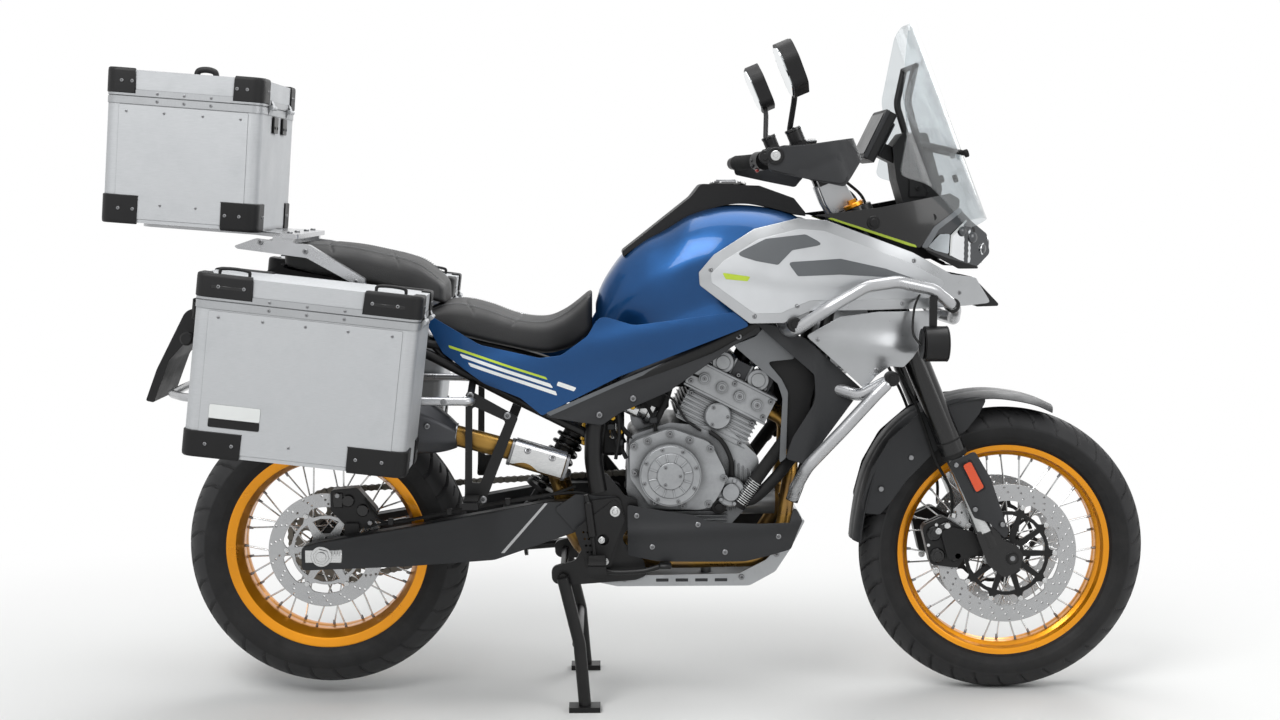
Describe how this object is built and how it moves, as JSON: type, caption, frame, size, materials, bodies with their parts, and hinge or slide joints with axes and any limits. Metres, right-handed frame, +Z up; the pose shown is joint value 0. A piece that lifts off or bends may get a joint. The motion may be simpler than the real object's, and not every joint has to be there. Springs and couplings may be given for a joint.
{
  "type": "adventure motorcycle with luggage",
  "caption": "Adventure touring motorcycle on its centre stand with spoked wheels, top case, two panniers, crash bars and a tall screen.",
  "frame": {"origin": "floor point under the middle of the overall length, on the centre plane", "axes": "+X forward, +Y to the rider's left, +Z up"},
  "size_m": [2.327, 0.98, 1.5329],
  "materials": {
    "tyre": "matt rubber",
    "rim_gold": "satin orange gold",
    "hub_black": "satin black",
    "disc_steel": "ground steel",
    "chain_steel": "oiled steel",
    "fork_black": "satin black",
    "frame_black": "satin black",
    "plastic_black": "fine grain",
    "engine_grey": "cast grey alloy",
    "exhaust_bronze": "heat coloured",
    "muffler_dark": "dark grey",
    "silver_paint": "satin silver",
    "blue_paint": "deep metallic blue",
    "case_aluminium": "brushed",
    "seat_vinyl": "grained cover",
    "lamp_black": "gloss",
    "lamp_red": "gloss red",
    "clear_screen": "clear"
  },
  "bodies": {
    "root": {"drive_chain": "chain_steel", "rear_caliper": "frame_black", "main_frame": "frame_black", "subframe": "frame_black", "swingarm": "frame_black", "rear_shock": "frame_black", "engine_crankcase": "engine_grey", "cylinder_block": "engine_grey", "header_pipes": "exhaust_bronze", "exhaust_pipe": "exhaust_bronze", "muffler": "muffler_dark", "radiator": "frame_black", "crash_bars": "silver_paint", "fog_lamps": "lamp_black", "radiator_shrouds": "plastic_black", "belly_covers": "plastic_black", "skid_plate": "case_aluminium", "foot_hangers": "frame_black", "fuel_tank": "blue_paint", "tank_console": "plastic_black", "tank_side_panels": "blue_paint", "rider_seat": "seat_vinyl", "passenger_seat": "seat_vinyl", "side_fairings": "silver_paint", "fairing_wings": "silver_paint", "cockpit_panels": "plastic_black", "beak": "plastic_black", "headlight": "lamp_black", "windscreen": "clear_screen", "display": "plastic_black", "screen_mount": "plastic_black", "rear_carrier": "silver_paint", "tail_unit": "plastic_black", "tail_lamp": "lamp_red", "pannier_boxes": "case_aluminium", "top_case_box": "case_aluminium", "pannier_racks": "frame_black"},
    "steering": {"fork_legs": "fork_black", "triple_clamps": "frame_black", "handlebar": "frame_black", "handguards": "plastic_black", "mirrors": "plastic_black", "front_fender": "plastic_black", "fork_guards": "plastic_black", "front_calipers": "frame_black"},
    "front_wheel": {"front_tyre": "tyre", "front_rim": "rim_gold", "front_hub": "hub_black", "front_discs": "disc_steel"},
    "rear_wheel": {"rear_tyre": "tyre", "rear_rim": "rim_gold", "rear_hub": "hub_black", "rear_disc": "disc_steel", "rear_sprocket": "chain_steel"},
    "centre_stand": {"centre_stand": "frame_black"},
    "side_stand": {"side_stand": "frame_black"},
    "top_lid": {"top_case_lid": "case_aluminium"},
    "pannier_lid_right": {"pannier_lid_right": "case_aluminium"},
    "pannier_lid_left": {"pannier_lid_left": "case_aluminium"}
  },
  "joints": [
    {"name": "steering_turn", "type": "hinge", "parent": "root", "child": "steering", "pos_m": [0.79436, 0, 0.31334], "axis": [-0.3875, 0, 0.9219], "range_deg": [-32, 32]},
    {"name": "front_wheel_spin", "type": "hinge", "parent": "steering", "child": "front_wheel", "pos_m": [0.834, 0, 0.33], "axis": [0, 1, 0], "continuous": true},
    {"name": "rear_wheel_spin", "type": "hinge", "parent": "root", "child": "rear_wheel", "pos_m": [-0.714, 0, 0.346], "axis": [0, 1, 0], "continuous": true},
    {"name": "centre_stand_fold", "type": "hinge", "parent": "root", "child": "centre_stand", "pos_m": [-0.178, 0, 0.3], "axis": [0, 1, 0], "range_deg": [0, 95]},
    {"name": "side_stand_fold", "type": "hinge", "parent": "root", "child": "side_stand", "pos_m": [-0.01, 0.2, 0.31], "axis": [0, 1, 0], "range_deg": [-100, 0]},
    {"name": "top_lid_open", "type": "hinge", "parent": "root", "child": "top_lid", "pos_m": [-0.80685, 0, 1.33398], "axis": [0, 1, 0], "range_deg": [0, 90]},
    {"name": "pannier_right_open", "type": "hinge", "parent": "root", "child": "pannier_lid_right", "pos_m": [-0.44759, -0.37, 0.89071], "axis": [0, 1, 0], "range_deg": [0, 85]},
    {"name": "pannier_left_open", "type": "hinge", "parent": "root", "child": "pannier_lid_left", "pos_m": [-0.44759, 0.37, 0.89071], "axis": [0, 1, 0], "range_deg": [0, 85]}
  ]
}
